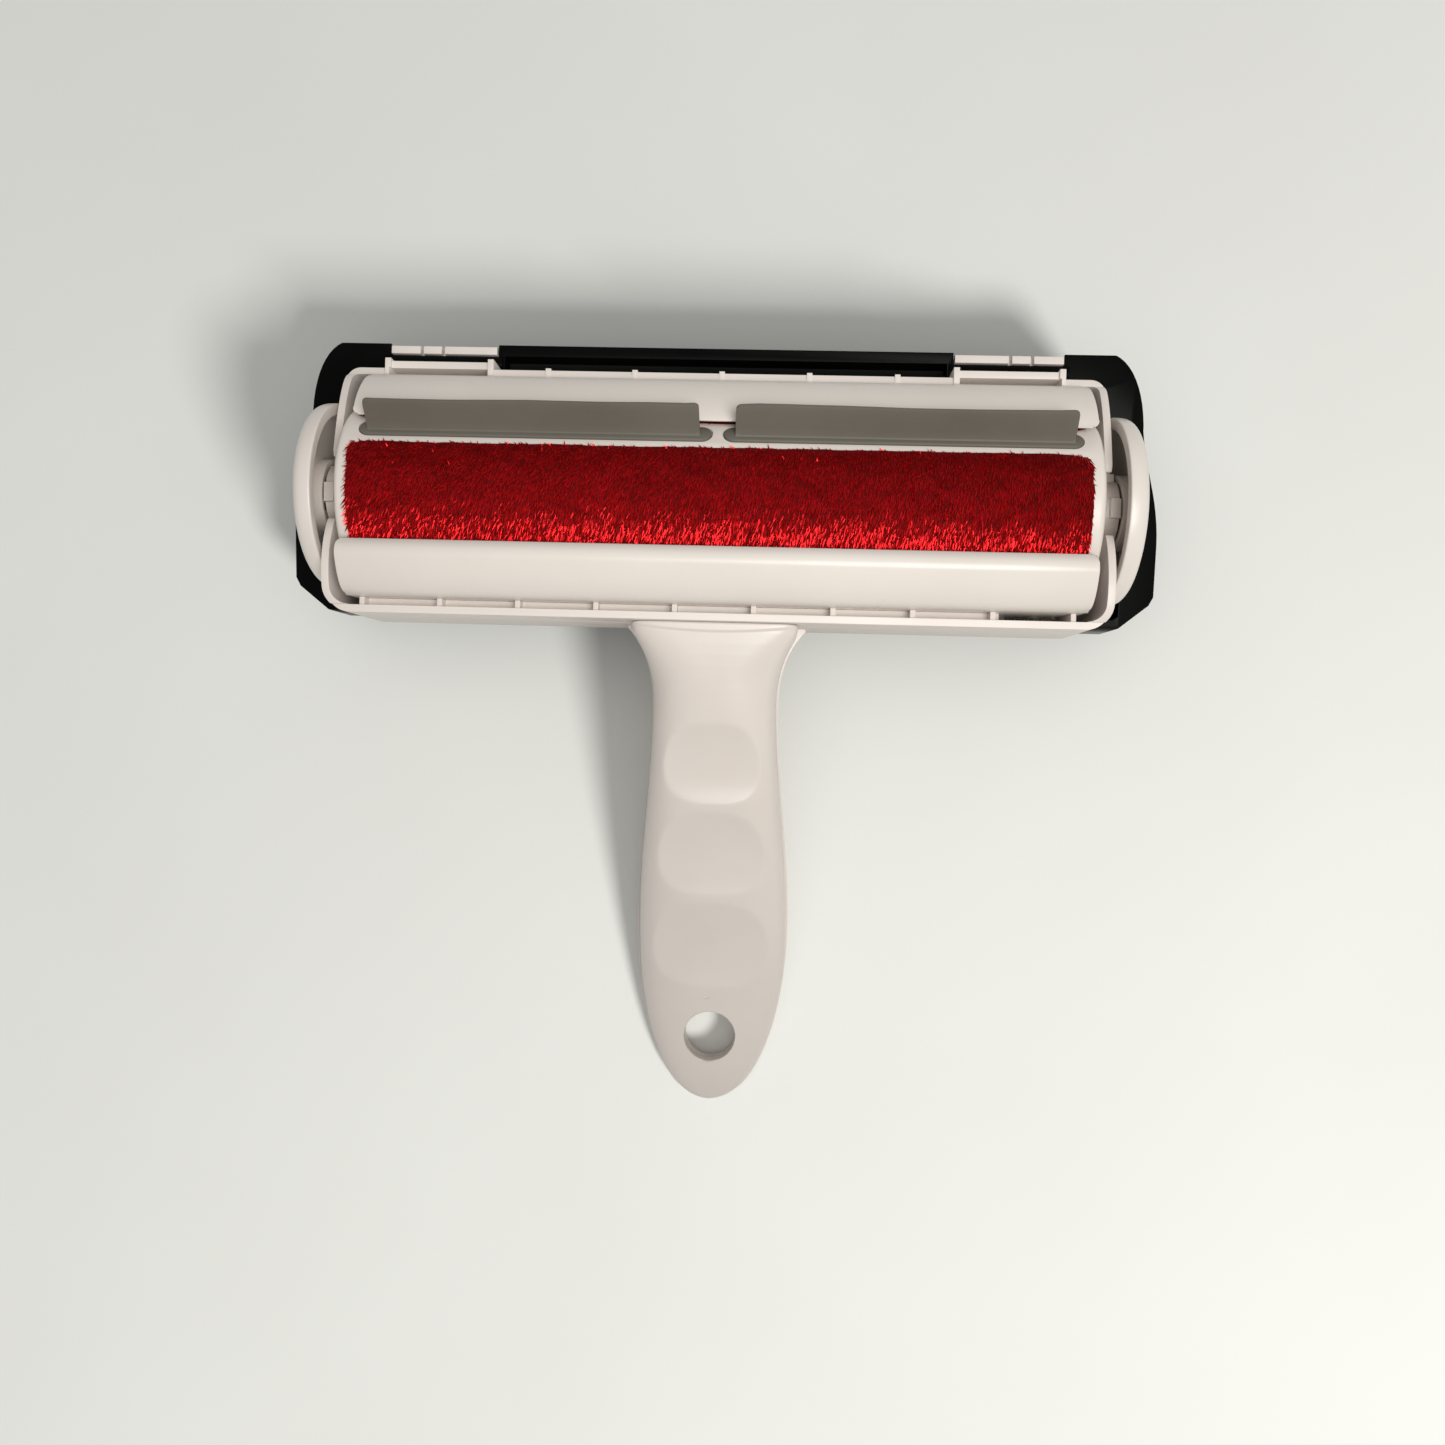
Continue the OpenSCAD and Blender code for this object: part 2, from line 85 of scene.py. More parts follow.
def make_light(name, place, target, size, energy, colour):
    light = bpy.data.lights.new(name, "AREA")
    light.shape = "DISK"
    light.size = size
    light.energy = energy
    light.color = colour
    obj = bpy.data.objects.new(name, light)
    obj.location = place
    obj.rotation_euler = (Vector(target) - Vector(place)).to_track_quat("-Z", "Y").to_euler()
    bpy.context.scene.collection.objects.link(obj)
    return obj


def make_studio():
    # the key draws the long soft shadow on the table; the window, over the head, lights the tool itself
    key = make_light("key", (0.62, -0.62, 0.95), (0, 0.03, 0), 0.3, 11.5, (1.0, 0.99, 0.96))
    window = make_light("window", (0.12, -0.03, 0.48), (0, 0.08, 0.05), 0.3, 0.475, (1.0, 0.985, 0.95))
    window.data.spread = math.radians(85)
    fill = make_light("fill", (-0.1, -0.1, 1.3), (0, 0, 0), 1.4, 2.8, (0.98, 0.99, 1.0))
    world = bpy.data.worlds.new("studio")
    world.use_nodes = True
    world.node_tree.nodes["Background"].inputs["Color"].default_value = (1.0, 1.0, 0.985, 1.0)
    world.node_tree.nodes["Background"].inputs["Strength"].default_value = 0.34
    bpy.context.scene.world = world
    bpy.context.scene.view_settings.view_transform = "Standard"
    mesh = bpy.data.meshes.new("floor")
    half = 1.5
    corners = [(-half, -half, 0), (half, -half, 0), (half, half, 0), (-half, half, 0)]
    mesh.from_pydata(corners, [], [(0, 1, 2, 3)])
    floor = bpy.data.objects.new("floor", mesh)
    bpy.context.scene.collection.objects.link(floor)
    material, tree, shader = new_material("floor")
    cloud = noise_node(tree, 9.0, 3.0, 0.5)
    tint = ramp_node(tree, cloud, "Fac", 0.3, 0.7, (0.79, 0.79, 0.755), (0.82, 0.825, 0.79))
    link(tree, tint, "Color", shader, "Base Color")
    shader.inputs["Roughness"].default_value = 0.7
    mesh.materials.append(material)
    table_only = bpy.data.collections.new("table_only")
    table_only.objects.link(floor)
    key.light_linking.receiver_collection = table_only
    fill.light_linking.receiver_collection = table_only
    all_but_table = bpy.data.collections.new("all_but_table")
    all_but_table.objects.link(floor)
    all_but_table.collection_objects[0].light_linking.link_state = "EXCLUDE"
    window.light_linking.receiver_collection = all_but_table


# ---------------------------------------------------------------- materials
def new_material(name):
    material = bpy.data.materials.new(name)
    material.use_nodes = True
    tree = material.node_tree
    return material, tree, tree.nodes["Principled BSDF"]


def link(tree, a, out, b, to):
    tree.links.new(a.outputs[out], b.inputs[to])


def noise_node(tree, scale, detail=3.0, rough=0.5, stretch=None):
    coords = tree.nodes.new("ShaderNodeTexCoord")
    node = tree.nodes.new("ShaderNodeTexNoise")
    node.inputs["Scale"].default_value = scale
    node.inputs["Detail"].default_value = detail
    node.inputs["Roughness"].default_value = rough
    if stretch is None:
        link(tree, coords, "Object", node, "Vector")
    else:
        mapping = tree.nodes.new("ShaderNodeMapping")
        mapping.inputs["Scale"].default_value = stretch
        link(tree, coords, "Object", mapping, "Vector")
        link(tree, mapping, "Vector", node, "Vector")
    return node


def ramp_node(tree, source, out, low, high, colour_low, colour_high):
    ramp = tree.nodes.new("ShaderNodeValToRGB")
    ramp.color_ramp.elements[0].position = low
    ramp.color_ramp.elements[1].position = high
    ramp.color_ramp.elements[0].color = (*colour_low, 1)
    ramp.color_ramp.elements[1].color = (*colour_high, 1)
    link(tree, source, out, ramp, "Fac")
    return ramp


def add_bump(tree, shader, source, out, strength, distance):
    bumps = tree.nodes.new("ShaderNodeBump")
    bumps.inputs["Strength"].default_value = strength
    bumps.inputs["Distance"].default_value = distance
    link(tree, source, out, bumps, "Height")
    link(tree, bumps, "Normal", shader, "Normal")


def plastic(name, colour_low, colour_high, rough_low, rough_high, grain=900.0, bump=0.015,
            specular=0.5):
    """Moulded plastic: slight colour clouding, patchy gloss and a fine moulded grain."""
    material, tree, shader = new_material(name)
    cloud = noise_node(tree, 28.0, 4.0, 0.6)
    colour = ramp_node(tree, cloud, "Fac", 0.3, 0.7, colour_low, colour_high)
    link(tree, colour, "Color", shader, "Base Color")
    patches = noise_node(tree, 45.0, 2.0, 0.5)
    rough = ramp_node(tree, patches, "Fac", 0.2, 0.8, (rough_low,) * 3, (rough_high,) * 3)
    link(tree, rough, "Color", shader, "Roughness")
    fine = noise_node(tree, grain, 2.0, 0.5)
    add_bump(tree, shader, fine, "Fac", bump, 0.0002)
    shader.inputs["Specular IOR Level"].default_value = specular
    return material


def metal(name):
    """Dull steel with a fine mottle."""
    material, tree, shader = new_material(name)
    fine = noise_node(tree, 600.0, 4.0, 0.6)
    colour = ramp_node(tree, fine, "Fac", 0.3, 0.7, (0.16, 0.15, 0.14), (0.34, 0.32, 0.30))
    link(tree, colour, "Color", shader, "Base Color")
    shader.inputs["Metallic"].default_value = 1.0
    shader.inputs["Roughness"].default_value = 0.32
    return material


def axis_distance(tree, low, high):
    """0 to 1 from the radius low to the radius high round the drum's axis, in mm."""
    coords = tree.nodes.new("ShaderNodeTexCoord")
    away = tree.nodes.new("ShaderNodeVectorMath")
    away.operation = "SUBTRACT"
    away.inputs[1].default_value = AXIS
    link(tree, coords, "Object", away, 0)
    flat = tree.nodes.new("ShaderNodeVectorMath")
    flat.operation = "MULTIPLY"
    flat.inputs[1].default_value = (0, 1, 1)
    link(tree, away, "Vector", flat, 0)
    length = tree.nodes.new("ShaderNodeVectorMath")
    length.operation = "LENGTH"
    link(tree, flat, "Vector", length, 0)
    span = tree.nodes.new("ShaderNodeMapRange")
    span.inputs["From Min"].default_value = low * MM
    span.inputs["From Max"].default_value = high * MM
    link(tree, length, "Value", span, "Value")
    return span


def velvet_material(name, root, tip, rough, gleam):
    """Red pile with painted shade: dark at the roots, brighter at the tips, mottled along the lie of the
    fibres.
    """
    material, tree, shader = new_material(name)
    # painted shade: the colour darkens with depth into the pile, from the tip colour at the top down to
    # the root colour at the drum
    height = axis_distance(tree, DRUM_R + 0.2, VELVET_R - 0.1)
    mottle = noise_node(tree, 420.0, 3.0, 0.6, (0.55, 1.0, 1.0))
    mixed = tree.nodes.new("ShaderNodeMath")
    mixed.operation = "MULTIPLY_ADD"
    mixed.inputs[1].default_value = 0.7
    link(tree, mottle, "Fac", mixed, 0)
    link(tree, height, "Result", mixed, 2)
    colour = ramp_node(tree, mixed, "Value", 0.3, 1.25, root, tip)
    link(tree, colour, "Color", shader, "Base Color")
    shader.inputs["Roughness"].default_value = rough
    shader.inputs["Metallic"].default_value = gleam
    shader.inputs["Specular IOR Level"].default_value = 0.4
    shader.inputs["Specular Tint"].default_value = (1.0, 0.3, 0.28, 1)
    return material


make_camera()
make_studio()
WHITE = plastic("white_satin", (0.70, 0.635, 0.59), (0.74, 0.68, 0.635), 0.36, 0.48)
WHITE_GLOSS = plastic("white_smooth", (0.72, 0.66, 0.61), (0.755, 0.70, 0.65), 0.26, 0.36)
HANDLE_WHITE = plastic("handle_satin", (0.66, 0.60, 0.555), (0.70, 0.64, 0.595), 0.27, 0.36,
                       grain=1500.0)
BLACK = plastic("black_plastic", (0.0012, 0.0013, 0.0012), (0.003, 0.0034, 0.003), 0.24, 0.4,
                specular=0.05)
RUBBER = plastic("grey_rubber", (0.125, 0.112, 0.092), (0.15, 0.137, 0.115), 0.5, 0.66,
                 grain=1200.0, bump=0.05, specular=0.3)
STEEL = metal("spring_steel")
# the pile's dark root colour and the darker still base cloth are painted shade at the foot of the pile
PILE = velvet_material("red_pile", (0.16, 0.0008, 0.0015), (0.68, 0.009, 0.013), 0.25, 0.55)
CLOTH = velvet_material("red_base_cloth", (0.06, 0.0003, 0.0006), (0.12, 0.0008, 0.001), 0.8, 0.0)


# ---------------------------------------------------------------- mesh helpers
def at_axis(points):
    """Points given in mm round the drum's axis, as world coordinates in metres."""
    return np.asarray(points, float) * MM + np.array(AXIS)


def add_piece(name, mesh, material, body, replaces=()):
    obj = bpy.data.objects.new(name, mesh)
    bpy.context.scene.collection.objects.link(obj)
    mesh.materials.clear()
    mesh.materials.append(material)
    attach(obj, body)
    if replaces:
        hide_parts(*replaces)
    return obj


def raw_mesh(name, points, faces):
    mesh = bpy.data.meshes.new(name)
    corners = [tuple(p) for p in at_axis(points)]
    mesh.from_pydata(corners, [], [tuple(int(i) for i in f) for f in faces])
    return mesh


def closed_mesh(name, points, faces, merge):
    """A mesh whose faces all look outwards, with its doubled points merged where asked."""
    mesh = raw_mesh(name, points, faces)
    bm = bmesh.new()
    bm.from_mesh(mesh)
    if merge:
        bmesh.ops.remove_doubles(bm, verts=bm.verts, dist=0.0005 * MM)
    bmesh.ops.recalc_face_normals(bm, faces=bm.faces)
    bm.to_mesh(mesh)
    bm.free()
    return mesh


def shade(mesh, sharp):
    """Smooth shading, with the edges sharper than this angle left hard."""
    mesh.shade_smooth()
    mesh.set_sharp_from_angle(angle=math.radians(sharp))


def build(name, points, faces, material, body, slot, replaces=(), sharp=40.0):
    mesh = closed_mesh(name, points, faces, True)
    obj = add_piece(name, mesh, material, body, replaces)
    if sharp:
        shade(mesh, sharp)
    return obj


def apply_modifiers(obj):
    bpy.context.view_layer.update()
    depsgraph = bpy.context.evaluated_depsgraph_get()
    mesh = bpy.data.meshes.new_from_object(obj.evaluated_get(depsgraph))
    obj.modifiers.clear()
    old = obj.data
    obj.data = mesh
    bpy.data.meshes.remove(old)


def round_edges(obj, width, angle=28.0):
    bevel = obj.modifiers.new("bevel", "BEVEL")
    bevel.width = width * MM
    bevel.segments = 3
    bevel.limit_method = "ANGLE"
    bevel.angle_limit = math.radians(angle)
    bevel.use_clamp_overlap = True
    apply_modifiers(obj)
    shade(obj.data, 40.0)


def cut(obj, tool):
    """Takes the tool's shape out of obj, and removes the tool."""
    boolean = obj.modifiers.new("cut", "BOOLEAN")
    boolean.operation = "DIFFERENCE"
    boolean.solver = "EXACT"
    boolean.object = tool
    apply_modifiers(obj)
    bpy.data.objects.remove(tool)


def cutting_tool(points, faces):
    obj = bpy.data.objects.new("tool", closed_mesh("tool", points, faces, False))
    bpy.context.scene.collection.objects.link(obj)
    return obj


def rings(sections, closed_ends=True):
    """Joins rings of the same number of points into a skin. Returns points and faces."""
    sections = [np.asarray(s, float) for s in sections]
    n = len(sections[0])
    points = np.concatenate(sections)
    faces = []
    for i in range(len(sections) - 1):
        for k in range(n):
            a, b = i * n + k, i * n + (k + 1) % n
            faces.append((a, b, b + n, a + n))
    if closed_ends:
        faces.append(tuple(range(n)))
        faces.append(tuple((len(sections) - 1) * n + k for k in reversed(range(n))))
    return points, faces


def join(points, faces, more_points, more_faces):
    """Two solids as one list of points and one of faces."""
    moved = [tuple(i + len(points) for i in f) for f in more_faces]
    return np.concatenate([points, more_points]), faces + moved


def bezier(p0, p1, p2, p3, n):
    t = np.linspace(0, 1, n + 1)[:, None]
    s = 1 - t
    p0, p1, p2, p3 = (np.asarray(p, float) for p in (p0, p1, p2, p3))
    return s ** 3 * p0 + 3 * s * s * t * p1 + 3 * s * t * t * p2 + t ** 3 * p3


def soften(node, material, width):
    """A copy of a hard CAD node with every sharp edge rounded off, as a moulding has."""
    source = frame["nodes"][node]
    mesh = source.data.copy()
    mesh.name = node + "_moulding"
    bm = bmesh.new()
    bm.from_mesh(mesh)
    bmesh.ops.remove_doubles(bm, verts=bm.verts, dist=0.002 * MM)
    bmesh.ops.dissolve_limit(bm, angle_limit=math.radians(1.0), verts=bm.verts, edges=bm.edges)
    bm.to_mesh(mesh)
    bm.free()
    if "custom_normal" in mesh.attributes:
        mesh.attributes.remove(mesh.attributes["custom_normal"])
    obj = add_piece(mesh.name, mesh, material, source["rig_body"], (node,))
    round_edges(obj, width)


# ---------------------------------------------------------------- lips
def lip(name, skin, under, left, right, corners, node, width):
    """A moulded bar: one profile, with its corners rounded in plan, so each point has its own length."""
    loop = np.concatenate([skin, under[::-1]])
    y = loop[:, 0]
    back = 0.0
    for edge, r in ((y - y.min(), corners[0]), (y.max() - y, corners[1])):
        back = np.maximum(back, r - np.sqrt(np.maximum(r * r - np.clip(r - edge, 0, r) ** 2, 0)))
    low = np.column_stack([-left + back, loop])
    high = np.column_stack([right - back, loop])
    stations = [low + (high - low) * t for t in np.linspace(0, 1, 9)]
    obj = build(name, *rings(stations), WHITE_GLOSS, "head", "lip_white", (node,))
    round_edges(obj, width, 30)


front_skin = np.concatenate([
    bezier((14.9, 16.55), (19, 15.9), (26.2, 10.4), (27.3, 3.6), 28), [(27.3, -5.9)]])
front_under = np.concatenate([
    bezier((14.8, 16.0), (18.6, 14.4), (24.6, 9.4), (25.85, 3.6), 28), [(25.85, -5.9)]])
lip("front_lip_moulding", front_skin, front_under, 78.8, 80.4, (1.8, 2.2), "front_lip", 0.12)
rear_skin = np.concatenate([
    bezier((-12.05, 18.6), (-12.6, 19.2), (-13.3, 19.75), (-14.0, 20.0), 6)[:-1],
    bezier((-14.1, 20.02), (-15.2, 20.25), (-15.8, 20.1), (-16.4, 19.8), 6)[:-1],
    bezier((-16.4, 19.8), (-19.6, 18.3), (-23.0, 16.2), (-23.85, 12.0), 20), [(-23.85, -1.9)]])
rear_under = np.concatenate([
    bezier((-12.15, 18.0), (-15.6, 18.2), (-20.8, 15.8), (-22.35, 11.2), 30),
    [(-22.35, -1.9), (-22.35, -1.9)]])[:len(rear_skin)]
lip("rear_lip_moulding", rear_skin, rear_under, 80.8, 80.4, (1.1, 1.6), "rear_lip", 0.3)


# ---------------------------------------------------------------- drum
def on_drum(x, angle, r):
    """Points at X, angle from the top in degrees (forwards) and radius."""
    a = np.radians(angle)
    return np.stack([x, r * np.sin(a), r * np.cos(a)], -1)


def smooth_noise(rng, n, step):
    """A slow random curve of n values from -1 to 1."""
    knots = rng.uniform(-1, 1, n // step + 3)
    return np.interp(np.arange(n) / step, np.arange(len(knots)), knots)


class Strip:
    """The outline of a velvet strip: ragged long edges and rounded corners."""

    def __init__(self, half, first, last, corners, seed):
        rng = np.random.default_rng(seed)
        self.half, self.first, self.last, self.corners = half, first, last, corners
        self.edge_first, self.edge_last = smooth_noise(rng, 400, 6), smooth_noise(rng, 400, 6)
        self.end_low, self.end_high = smooth_noise(rng, 120, 3), smooth_noise(rng, 120, 3)

    def ends(self, angle):
        """The strip's two X ends at each angle."""
        share = (angle - self.first) / (self.last - self.first)
        out = []
        low, high = self.corners
        for side, wave, radii in ((-1, self.end_low, low), (1, self.end_high, high)):
            back = 0.0
            for d, r in (((angle - self.first) * ARC, radii[0]), ((self.last - angle) * ARC, radii[1])):
                gap = np.clip(r - d, 0, r)
                back = np.maximum(back, r - np.sqrt(r * r - gap * gap))
            ragged = 0.22 * np.interp(share * (len(wave) - 1), np.arange(len(wave)), wave)
            out.append(side * (self.half - 0.25 - back + ragged))
        return out

    def edges(self, x):
        """The strip's two angles at each X."""
        share = (x / self.half + 1) / 2 * (len(self.edge_first) - 1)
        index = np.arange(len(self.edge_first))
        return (self.first + 0.7 + 0.5 * np.interp(share, index, self.edge_first),
                self.last - 0.7 - 0.5 * np.interp(share, index, self.edge_last))


def base_cloth(name, strip, node):
    """The strip's backing, which follows the drum and has a slightly uneven face."""
    rows, columns = 50, 160
    u = np.linspace(0, 1, columns)
    top, low = [], []
    rng = np.random.default_rng(3)
    for t in np.linspace(0, 1, rows):
        angle = strip.first + (strip.last - strip.first) * t
        x0, x1 = strip.ends(np.array([angle]))
        x = x0[0] + (x1[0] - x0[0]) * u
        first, last = strip.edges(x)
        a = first + (last - first) * t
        top.append(on_drum(x, a, DRUM_R + 0.3 + 0.04 * rng.standard_normal(columns)))
        low.append(on_drum(x, a, np.full(columns, DRUM_R + 0.02)))
    sections = [np.concatenate([a, b[::-1]]) for a, b in zip(top, low)]
    return build(name, *rings(sections), CLOTH, "drum", "velvet_red", (node,), 60)


def tufts(name, x, angle, r0, height, lean_x, lean_a, width, rng, body):
    """Little leaning fibre bundles: three-sided spikes with their feet in the cloth."""
    n = len(x)
    turn = np.arctan2(lean_a, lean_x) + 0.55 * rng.standard_normal(n)
    feet = []
    for k in range(3):
        a = turn + k * 2 * math.pi / 3
        feet.append(on_drum(x + width * np.cos(a), angle + np.degrees(width * np.sin(a) / DRUM_R), r0))
    tip = on_drum(x + lean_x, angle + np.degrees(lean_a / DRUM_R), r0 + height)
    points = np.stack([*feet, tip], 1).reshape(-1, 3)
    b = 4 * np.arange(n)[:, None]
    faces = np.concatenate([b + [0, 1, 3], b + [1, 2, 3], b + [2, 0, 3]], 0)
    mesh = raw_mesh(name, points, faces)
    mesh.update()
    return add_piece(name, mesh, PILE, body)


def pile(name, strip, step, seed):
    """The strip's fibres, in mm: a jittered grid of spikes that lean towards the handle."""
    rng = np.random.default_rng(seed)
    a = np.arange(strip.first, strip.last, step / ARC)
    x = np.arange(-strip.half, strip.half, step)
    xx, aa = (g.ravel() for g in np.meshgrid(x, a))
    xx = xx + rng.uniform(-0.5, 0.5, xx.size) * step
    aa = aa + rng.uniform(-0.5, 0.5, aa.size) * step / ARC
    x0, x1 = strip.ends(aa)
    first, last = strip.edges(xx)
    keep = (xx > x0) & (xx < x1) & (aa > first) & (aa < last)
    xx, aa, x0, x1, first, last = (v[keep] for v in (xx, aa, x0, x1, first, last))
    n = xx.size
    height = rng.uniform(0.42, 0.74, n)
    lean_x = -0.3 + 0.22 * rng.standard_normal(n)
    lean_a = -0.88 + 0.46 * rng.standard_normal(n)
    # at the borders the fibres fan outwards
    fan, border = 0.75, 0.7
    lean_x -= (fan * np.clip(1 - (xx - x0) / border, 0, 1)
               - fan * np.clip(1 - (x1 - xx) / border, 0, 1))
    lean_a -= (fan * np.clip(1 - (aa - first) * ARC / border, 0, 1)
               - fan * np.clip(1 - (last - aa) * ARC / border, 0, 1))
    lean_x = np.clip(lean_x, -1.0, 1.0)
    lean_a = np.clip(lean_a, -1.6, 1.1)
    width = rng.uniform(0.15, 0.25, n)
    return tufts(name, xx, aa, DRUM_R + 0.25, height, lean_x, lean_a, width, rng, "drum")


REAR_EDGE, FRONT_EDGE = BLADE_ANGLE - 11.5, BLADE_ANGLE + 10.5      # where the strips end at the blades
rear_strip = Strip(79.0, REAR_EDGE - VELVET_SPAN, REAR_EDGE, ((1.5, 2.4), (1.5, 3.4)), 11)
front_strip = Strip(79.0, FRONT_EDGE, FRONT_EDGE + VELVET_SPAN, ((1.5, 1.5), (1.8, 1.5)), 12)
for node, strip, step, seed in (("rear_velvet", rear_strip, 0.40, 21),
                                ("front_velvet", front_strip, 0.56, 22)):
    cloth = base_cloth(node + "_cloth", strip, node)
    fibres = pile(node + "_pile", strip, step, seed)


def blade(name, side, node, seed):
    """A rubber blade: a wavy web that thins to its edge, a fillet at its foot, and a rounded flange."""
    rng = np.random.default_rng(seed)
    inner, outer = 3.8, 75.5
    full, corner = 8.0, 1.1                      # nominal height, and radius of the corners
    stations = 72
    wave = smooth_noise(rng, stations, 9)
    lean = smooth_noise(rng, stations, 12)
    heights = np.array([-0.6, 0.2, 0.55, 1.1, 2.2, 4.0, 5.6, 6.9, 7.5, 7.65])
    halves = np.array([1.5, 1.2, 0.78, 0.64, 0.6, 0.57, 0.53, 0.5, 0.42, 0.16])
    sections = []
    for i, t in enumerate((1 - np.cos(np.linspace(0, math.pi, stations))) / 2):
        ring = []
        near = max(corner - (outer - inner) * min(t, 1 - t), 0)
        dip = corner - math.sqrt(corner ** 2 - near ** 2)
        for sign in (-1, 1):
            order = range(len(heights)) if sign < 0 else reversed(range(len(heights)))
            for k in order:
                h = heights[k]
                oblique = 0.4 * (h / full) * t ** 8
                x = inner + 0.15 * h / full * (1 - t) ** 8 + (outer - inner) * t - oblique
                top = h * (1 + 0.018 * wave[i]) - dip * (h / full) if h > 1 else h
                out = sign * halves[k] + (h / full) ** 2 * (0.28 * lean[i] + 0.15)
                ring.append((side * x, out, DRUM_R + top))
        sections.append(ring)
    # the flange, a rounded strip that follows the drum
    flange = []
    for level, inset in ((-0.5, 0.0), (0.0, 0.0), (0.22, 0.12), (0.34, 0.4)):
        r = 2.2 - inset
        outline = []
        for centre, start in ((outer - 0.2, -90), (inner - 0.3, 90)):
            for a in np.linspace(start, start + 180, 13):
                b = math.radians(a)
                outline.append((centre + r * math.cos(b), r * math.sin(b)))
        flange.append([(side * x, y, math.sqrt(DRUM_R ** 2 - y * y) + level) for x, y in outline])
    both, faces = join(*rings(sections), *rings(flange))
    a = math.radians(BLADE_ANGLE)
    turned = np.column_stack([both[:, 0], both[:, 1] * math.cos(a) + both[:, 2] * math.sin(a),
                              both[:, 2] * math.cos(a) - both[:, 1] * math.sin(a)])
    build(name, turned, faces, RUBBER, "drum", "blade_grey", (node,), 35)


blade("blade_left_rubber", -1, "blade_left", 31)
blade("blade_right_rubber", 1, "blade_right", 35)


# ---------------------------------------------------------------- wheels and spring
def turned_solid(profile, side, segments=144):
    """Points and faces of a closed profile (radius, X) turned round the drum's axis."""
    sections = []
    for i in range(segments):
        a = 2 * math.pi * i / segments
        sections.append([(side * x, r * math.sin(a), r * math.cos(a)) for r, x in profile])
    return rings(sections + [sections[0]], closed_ends=False)


def wheel(name, side, node):
    """A domed wheel, hollow on the inside, with the socket that holds it on the hub."""
    plane, edge = 86.2, 89.9                     # X of the open side, and of the rim's outer edge
    skin = np.concatenate([
        bezier((20.3, plane), (20.7, plane), (20.8, plane + 0.1), (20.8, plane + 0.5), 4)[:-1],
        bezier((20.8, plane + 0.5), (20.8, edge - 1.0), (20.4, edge - 0.2), (19.4, edge + 0.35), 10)[:-1],
        bezier((19.4, edge + 0.35), (15.5, edge + 1.9), (9, edge + 2.8), (0.001, edge + 2.95), 16)])
    inner = np.concatenate([
        bezier((0.001, edge + 1.3), (9, edge + 1.1), (14, edge + 0.3), (17.4, edge - 1.2), 14)[:-1],
        bezier((17.4, edge - 1.2), (18.0, edge - 1.6), (18.1, edge - 2.4), (18.15, plane + 0.5), 8)[:-1],
        bezier((18.15, plane + 0.5), (18.2, plane + 0.1), (18.3, plane), (18.6, plane), 4)])
    socket = [(7.05, 88.3), (7.25, 88.2), (8.2, 88.2), (8.4, 88.4), (8.4, edge + 1.2),
              (7.05, edge + 1.2)]
    points, faces = join(*turned_solid(np.concatenate([skin, inner]), side),
                         *turned_solid(socket, side, 96))
    build(name, points, faces, WHITE_GLOSS, "drum", "wheel_white", (node,), 38)


wheel("wheel_left_moulding", -1, "wheel_left")
wheel("wheel_right_moulding", 1, "wheel_right")


def full_turn(count):
    """Angles in radians, evenly spaced round a circle."""
    return np.linspace(0, 2 * math.pi, count, endpoint=False)


def spring():
    """The latch's torsion spring: turns of wire round the pin."""
    turns, radius, wire, sides = 9.5, 1.7, 0.27, 8
    n = int(turns * 28)
    middle = []
    for i in range(n + 1):
        a = 2 * math.pi * turns * i / n
        middle.append((66.5 + 6.2 * i / n, LATCH_Y + radius * math.cos(a),
                       LATCH_V + radius * math.sin(a)))
    middle = np.array(middle)
    along = np.gradient(middle, axis=0)
    along /= np.linalg.norm(along, axis=1)[:, None]
    out = middle - np.column_stack([middle[:, 0], np.full(n + 1, LATCH_Y), np.full(n + 1, LATCH_V)])
    out /= np.linalg.norm(out, axis=1)[:, None]
    third = np.cross(along, out)
    sections = [middle[i] + wire * np.array([math.cos(b) * out[i] + math.sin(b) * third[i]
                                             for b in full_turn(sides)])
                for i in range(n + 1)]
    build("latch_spring_wire", *rings(sections), STEEL, "head", "spring_steel", ("latch_spring",), 60)


spring()


# ---------------------------------------------------------------- handle
NECK_Y, TIP_Y, HOLE_Y, HOLE_R = -27.3, -144.5, -127.8, 6.4
GATE_Y = -117.6                                  # the moulding's gate mark
UNDER_HANDLE = -45                               # a height below the whole handle
HANDLE_SHARP = 34                                # degrees above which a handle's edge stays hard
# outline in plan as (half width, Y), then the upper and lower outlines from the side as (Y, height)
SIDE = np.concatenate([
    bezier((20.9, NECK_Y), (16.9, NECK_Y - 3.4), (14.3, NECK_Y - 9), (14.3, NECK_Y - 17), 24)[:-1],
    bezier((14.3, NECK_Y - 17), (14.3, -62), (18.3, -80), (18.3, -101), 30)[:-1],
    bezier((18.3, -101), (18.3, -121), (12.5, TIP_Y), (0, TIP_Y), 40)])
TOP = np.concatenate([
    bezier((NECK_Y, 9), (-50, 6.4), (-84, -13), (-112, -24.6), 30)[:-1],
    bezier((-112, -24.6), (-122, -28.8), (-134, -30.6), (TIP_Y, -31.6), 20)])
BOTTOM = np.concatenate([
    bezier((NECK_Y, -15), (-55, -20.5), (-82, -38), (-114, -38), 30)[:-1],
    bezier((-114, -38), (-124, -38), (-136, -38), (TIP_Y, -35.6), 20)])
# each finger scoop's middle, half length and depth
SCOOPS = ((-58.9, 9.7, 2.35), (-80.4, 10.4, 2.15), (-103.7, 10.6, 1.95))


def along_y(line, y):
    return np.interp(-y, -line[:, 0], line[:, 1])


def handle_half(y):
    return np.interp(-y, -SIDE[:, 1], SIDE[:, 0])


